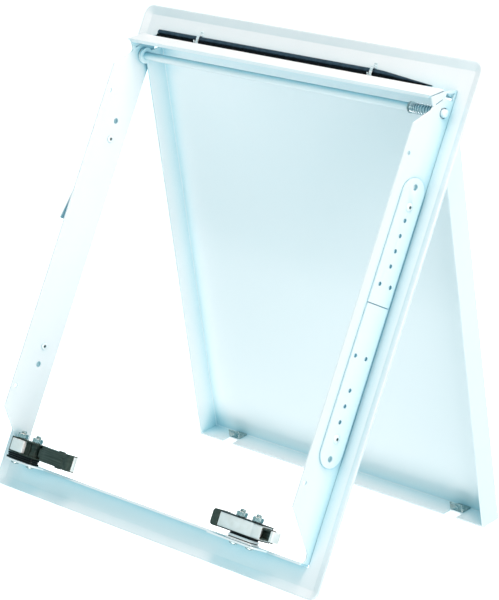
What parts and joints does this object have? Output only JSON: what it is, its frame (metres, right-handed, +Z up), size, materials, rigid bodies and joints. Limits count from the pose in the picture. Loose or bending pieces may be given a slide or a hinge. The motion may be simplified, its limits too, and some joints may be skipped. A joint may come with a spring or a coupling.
{
  "type": "deck hatch",
  "caption": "Folded sheet-steel access hatch standing open on its flange: deep side frame with anchor straps, top-hinged pan door on a sprung rod, touch latches on the bottom wall.",
  "frame": {"origin": "on the standing surface, under the centre of the hatch's overall box", "axes": "+X across the hatch along the hinge rod, +Y from the frame's foot towards the door's foot, +Z up"},
  "size_m": [0.4, 0.2544, 0.4052],
  "materials": {
    "white_paint": "gloss white powder coat",
    "nickel": "brushed nickel",
    "zinc_steel": "zinc plated",
    "spring_steel": "bright drawn wire",
    "dark_steel": "dark nickel",
    "dark_plastic": "moulded, dark grey-green",
    "black_plastic": "moulded, black",
    "black_rubber": "smooth black",
    "nylon": "natural"
  },
  "bodies": {
    "frame": {"flange_ring": "white_paint", "side_plate_left": "white_paint", "side_plate_right": "white_paint", "cross_rail": "white_paint", "bottom_wall": "white_paint", "anchor_left_upper": "white_paint", "anchor_left_lower": "white_paint", "anchor_right_upper": "white_paint", "anchor_right_lower": "white_paint", "rivet_left_upper": "white_paint", "rivet_left_lower": "white_paint", "rivet_right_upper": "white_paint", "rivet_right_lower": "white_paint", "seal_clip_left": "zinc_steel", "latch_left_base": "black_plastic", "latch_left_screw_1": "zinc_steel", "latch_left_nut_1": "zinc_steel", "latch_left_screw_2": "zinc_steel", "latch_left_nut_2": "zinc_steel", "seal_clip_right": "zinc_steel", "latch_right_base": "black_plastic", "latch_right_screw_1": "zinc_steel", "latch_right_nut_1": "zinc_steel", "latch_right_screw_2": "zinc_steel", "latch_right_nut_2": "zinc_steel", "rail_seal": "black_rubber", "latch_right_body": "nickel", "latch_right_cap": "dark_plastic", "latch_left_housing": "dark_steel", "latch_left_block": "nickel"},
    "door": {"door_pan": "white_paint", "strike_left": "zinc_steel", "strike_right": "zinc_steel", "door_bush_left": "nylon", "door_bush_right": "nylon"},
    "rod": {"hinge_rod": "white_paint", "rod_ring": "zinc_steel", "rod_spring": "spring_steel"},
    "right_catch": {"latch_right_catch": "nickel"},
    "left_arm": {"latch_left_arm": "dark_steel", "latch_left_cap": "dark_plastic"}
  },
  "joints": [
    {"name": "door_hinge", "type": "hinge", "parent": "frame", "child": "door", "pos_m": [0, 0.04296, 0.3647], "axis": [1, 0, 0], "range_deg": [-34.48, 14]},
    {"name": "rod_pull", "type": "slide", "parent": "frame", "child": "rod", "axis": [1, 0, 0], "range_m": [0, 0.008], "stiffness_N_per_m": 600, "springref_m": -0.008, "deforming": ["rod_spring"]},
    {"name": "right_catch_slide", "type": "slide", "parent": "frame", "child": "right_catch", "axis": [-1, 0, 0], "range_m": [0, 0.006], "stiffness_N_per_m": 400, "springref_m": -0.006},
    {"name": "left_arm_slide", "type": "slide", "parent": "frame", "child": "left_arm", "axis": [-1, 0, 0], "range_m": [0, 0.004], "stiffness_N_per_m": 400, "springref_m": -0.004}
  ]
}
